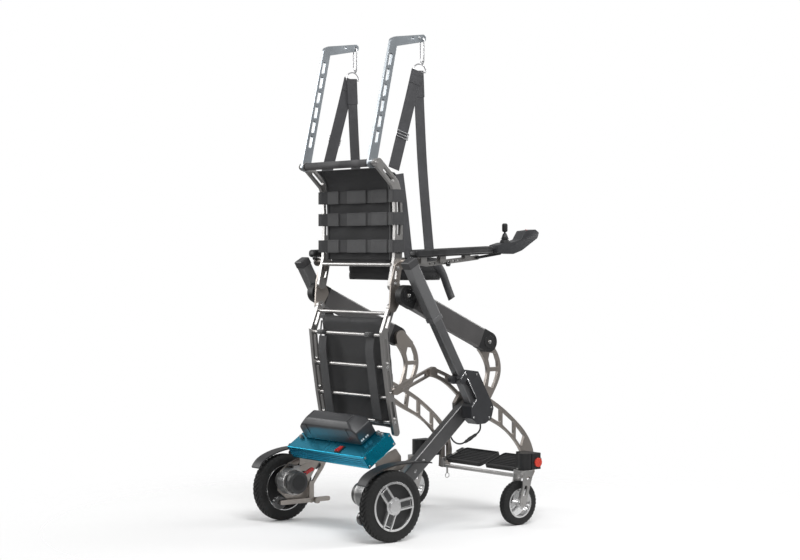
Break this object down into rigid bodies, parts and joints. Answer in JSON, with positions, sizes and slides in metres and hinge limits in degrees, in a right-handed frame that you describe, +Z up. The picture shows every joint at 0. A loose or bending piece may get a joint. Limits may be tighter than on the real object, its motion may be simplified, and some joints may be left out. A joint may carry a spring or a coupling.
{
  "type": "sit to stand lift",
  "caption": "Powered wheeled frame that lifts a strapped-in wearer between sitting and standing, with driven rear wheels, casters, folding seat, backrest, armrests and footplates.",
  "frame": {"origin": "on the ground under the middle of the footprint, in the raised (standing) position", "axes": "+Z up, +Y forward the way the wearer faces, +X to the wearer's right"},
  "size_m": [0.752, 1.0004, 1.9],
  "materials": {
    "beam_metal": "satin dark anodised",
    "titanium_plate": "satin titanium anodised",
    "silver_metal": "satin silver anodised",
    "blue_grey_metal": "satin pale blue-grey anodised",
    "bright_steel": "polished",
    "chrome_steel": "polished",
    "blue_shroud": "tinted gloss",
    "blue_case": "glossy blue anodised",
    "grey_case": "gloss dark grey",
    "tube_grey": "satin grey",
    "black_plastic": "matte black",
    "black_gloss": "gloss black",
    "red_plastic": "gloss red",
    "amber_lens": "gloss amber",
    "board_green": "matte",
    "tyre_rubber": "moulded rubber",
    "black_rubber": "matte",
    "pad_fabric": "woven dark grey",
    "band_fabric": "elastic webbing",
    "strap_fabric": "webbing dark grey",
    "arm_pad": "soft black vinyl",
    "cable_black": "satin"
  },
  "bodies": {
    "chassis": {"lower_beams": "beam_metal", "frame_brackets": "titanium_plate", "side_frames": "titanium_plate", "caster_heads": "titanium_plate", "side_reflectors": "amber_lens", "footrest_frame": "silver_metal", "strut_rods": "bright_steel", "strut_shrouds": "blue_shroud", "drive_motors": "black_gloss", "fenders": "black_plastic", "control_box": "blue_case", "control_board": "board_green", "switch_bezels": "black_plastic", "actuator_cable": "cable_black", "cable_connector": "cable_black"},
    "power_rocker": {"power_rocker": "red_plastic"},
    "ignition_key": {"ignition_key": "black_plastic"},
    "battery": {"battery": "grey_case"},
    "lift": {"lift_beams": "titanium_plate", "beam_caps": "black_plastic"},
    "actuator_base": {"actuator_inner_tubes": "tube_grey", "lead_screws": "bright_steel", "motor_housings": "black_gloss"},
    "actuator_slider": {"actuator_outer_tubes": "tube_grey"},
    "backrest": {"back_frame": "silver_metal", "hip_plates": "titanium_plate", "back_cushion": "pad_fabric", "back_bands": "band_fabric"},
    "hanger": {"hanger_arms": "blue_grey_metal", "push_handle": "silver_metal"},
    "harness": {"harness_clips": "chrome_steel", "shoulder_straps": "strap_fabric", "harness_vest": "strap_fabric"},
    "seat": {"seat_frame": "silver_metal", "seat_cushion": "pad_fabric", "seat_straps": "band_fabric"},
    "seat_links": {"seat_links": "silver_metal"},
    "armrest_right": {"armrest_bracket_right": "silver_metal", "armrest_pad_right": "arm_pad", "joystick_box": "grey_case"},
    "armrest_left": {"armrest_bracket_left": "silver_metal", "armrest_pad_left": "arm_pad"},
    "joystick_boot": {"joystick_boot": "black_rubber"},
    "joystick_stick": {"joystick_stick": "black_plastic"},
    "clutch_lever_right": {"clutch_lever_right": "red_plastic"},
    "rear_wheel_right": {"rear_tyre_right": "tyre_rubber", "rear_rim_right": "silver_metal"},
    "caster_fork_right": {"caster_fork_right": "titanium_plate"},
    "caster_wheel_right": {"caster_tyre_right": "tyre_rubber", "caster_rim_right": "silver_metal"},
    "anti_tip_wheel_right": {"anti_tip_wheel_right": "black_gloss"},
    "footplate_right": {"footplate_right": "black_plastic"},
    "clutch_lever_left": {"clutch_lever_left": "red_plastic"},
    "rear_wheel_left": {"rear_tyre_left": "tyre_rubber", "rear_rim_left": "silver_metal"},
    "caster_fork_left": {"caster_fork_left": "titanium_plate"},
    "caster_wheel_left": {"caster_tyre_left": "tyre_rubber", "caster_rim_left": "silver_metal"},
    "anti_tip_wheel_left": {"anti_tip_wheel_left": "black_gloss"},
    "footplate_left": {"footplate_left": "black_plastic"}
  },
  "joints": [
    {"name": "lift", "type": "hinge", "parent": "chassis", "child": "lift", "pos_m": [0, 0.1598, 0.72], "axis": [1, 0, 0], "range_deg": [0, 44]},
    {"name": "backrest_level", "type": "hinge", "parent": "lift", "child": "backrest", "pos_m": [0, -0.2422, 0.907], "axis": [1, 0, 0], "range_deg": [-44.02, 0]},
    {"name": "seat_fold", "type": "hinge", "parent": "backrest", "child": "seat", "pos_m": [0, -0.2702, 0.859], "axis": [1, 0, 0], "range_deg": [0, 77.25]},
    {"name": "seat_link", "type": "hinge", "parent": "chassis", "child": "seat_links", "pos_m": [0, -0.0902, 0.613], "axis": [1, 0, 0], "range_deg": [0, 105.9]},
    {"name": "actuator_tilt", "type": "hinge", "parent": "chassis", "child": "actuator_base", "pos_m": [0, 0.0478, 0.468], "axis": [1, 0, 0], "range_deg": [0, 33.68], "deforming": ["actuator_cable", "cable_connector"]},
    {"name": "actuator_slide", "type": "slide", "parent": "actuator_base", "child": "actuator_slider", "axis": [0, -0.497, 0.8678], "range_m": [-0.19577, 0]},
    {"name": "hanger_fold", "type": "hinge", "parent": "backrest", "child": "hanger", "pos_m": [0, -0.3502, 1.404], "axis": [-1, 0, 0], "range_deg": [0, 12]},
    {"name": "harness_hang", "type": "hinge", "parent": "hanger", "child": "harness", "pos_m": [0, -0.1062, 1.886], "axis": [-1, 0, 0], "range_deg": [-12.01, 0]},
    {"name": "armrest_right_flip", "type": "hinge", "parent": "backrest", "child": "armrest_right", "pos_m": [0, -0.2212, 1.03], "axis": [1, 0, 0], "range_deg": [0, 25]},
    {"name": "armrest_left_flip", "type": "hinge", "parent": "backrest", "child": "armrest_left", "pos_m": [0, -0.2212, 1.03], "axis": [1, 0, 0], "range_deg": [0, 25]},
    {"name": "joystick_side", "type": "hinge", "parent": "armrest_right", "child": "joystick_boot", "pos_m": [0.332, 0.2108, 1.104], "axis": [0, 1, 0], "range_deg": [-15, 15], "stiffness_Nm_per_rad": 0.3},
    {"name": "joystick_forward", "type": "hinge", "parent": "joystick_boot", "child": "joystick_stick", "pos_m": [0.332, 0.2108, 1.104], "axis": [1, 0, 0], "range_deg": [-15, 15], "stiffness_Nm_per_rad": 0.3},
    {"name": "power_switch", "type": "hinge", "parent": "chassis", "child": "power_rocker", "pos_m": [0.072, -0.39587, 0.32088], "axis": [1, 0, 0], "range_deg": [0, 12]},
    {"name": "key_turn", "type": "hinge", "parent": "chassis", "child": "ignition_key", "pos_m": [-0.25, -0.37448, 0.30331], "axis": [-1, 0, 0], "range_deg": [0, 90]},
    {"name": "battery_lift_out", "type": "slide", "parent": "chassis", "child": "battery", "axis": [0, -0.5563, 0.831], "range_m": [0, 0.1]},
    {"name": "clutch_right_turn", "type": "hinge", "parent": "chassis", "child": "clutch_lever_right", "pos_m": [0, -0.3452, 0.196], "axis": [1, 0, 0], "range_deg": [0, 40]},
    {"name": "rear_wheel_right_spin", "type": "hinge", "parent": "chassis", "child": "rear_wheel_right", "pos_m": [0, -0.3672, 0.133], "axis": [1, 0, 0], "continuous": true},
    {"name": "caster_right_swivel", "type": "hinge", "parent": "chassis", "child": "caster_fork_right", "pos_m": [0.332, 0.3178, 0.238], "axis": [0, 0, 1], "continuous": true},
    {"name": "caster_right_spin", "type": "hinge", "parent": "caster_fork_right", "child": "caster_wheel_right", "pos_m": [0, 0.2808, 0.087], "axis": [1, 0, 0], "continuous": true},
    {"name": "anti_tip_right_spin", "type": "hinge", "parent": "chassis", "child": "anti_tip_wheel_right", "pos_m": [0, -0.4352, 0.085], "axis": [1, 0, 0], "continuous": true},
    {"name": "footplate_right_fold", "type": "hinge", "parent": "chassis", "child": "footplate_right", "pos_m": [0.238, 0.3828, 0.199], "axis": [0, 0.9455, 0.3256], "range_deg": [0, 90]},
    {"name": "clutch_left_turn", "type": "hinge", "parent": "chassis", "child": "clutch_lever_left", "pos_m": [0, -0.3452, 0.196], "axis": [1, 0, 0], "range_deg": [0, 40]},
    {"name": "rear_wheel_left_spin", "type": "hinge", "parent": "chassis", "child": "rear_wheel_left", "pos_m": [0, -0.3672, 0.133], "axis": [1, 0, 0], "continuous": true},
    {"name": "caster_left_swivel", "type": "hinge", "parent": "chassis", "child": "caster_fork_left", "pos_m": [-0.332, 0.3178, 0.238], "axis": [0, 0, 1], "continuous": true},
    {"name": "caster_left_spin", "type": "hinge", "parent": "caster_fork_left", "child": "caster_wheel_left", "pos_m": [0, 0.2808, 0.087], "axis": [1, 0, 0], "continuous": true},
    {"name": "anti_tip_left_spin", "type": "hinge", "parent": "chassis", "child": "anti_tip_wheel_left", "pos_m": [0, -0.4352, 0.085], "axis": [1, 0, 0], "continuous": true},
    {"name": "footplate_left_fold", "type": "hinge", "parent": "chassis", "child": "footplate_left", "pos_m": [-0.238, 0.3828, 0.199], "axis": [0, -0.9455, -0.3256], "range_deg": [0, 90]}
  ],
  "couplings": [
    {"joint": "backrest_level", "follows": "lift", "ratio": -1},
    {"joint": "seat_fold", "follows": "lift", "ratio": 1.7548},
    {"joint": "seat_link", "follows": "lift", "ratio": 2.4056},
    {"joint": "actuator_tilt", "follows": "lift", "ratio": 0.76511},
    {"joint": "actuator_slide", "follows": "lift", "m_per_rad": -0.25479},
    {"joint": "harness_hang", "follows": "hanger_fold", "ratio": -1}
  ]
}
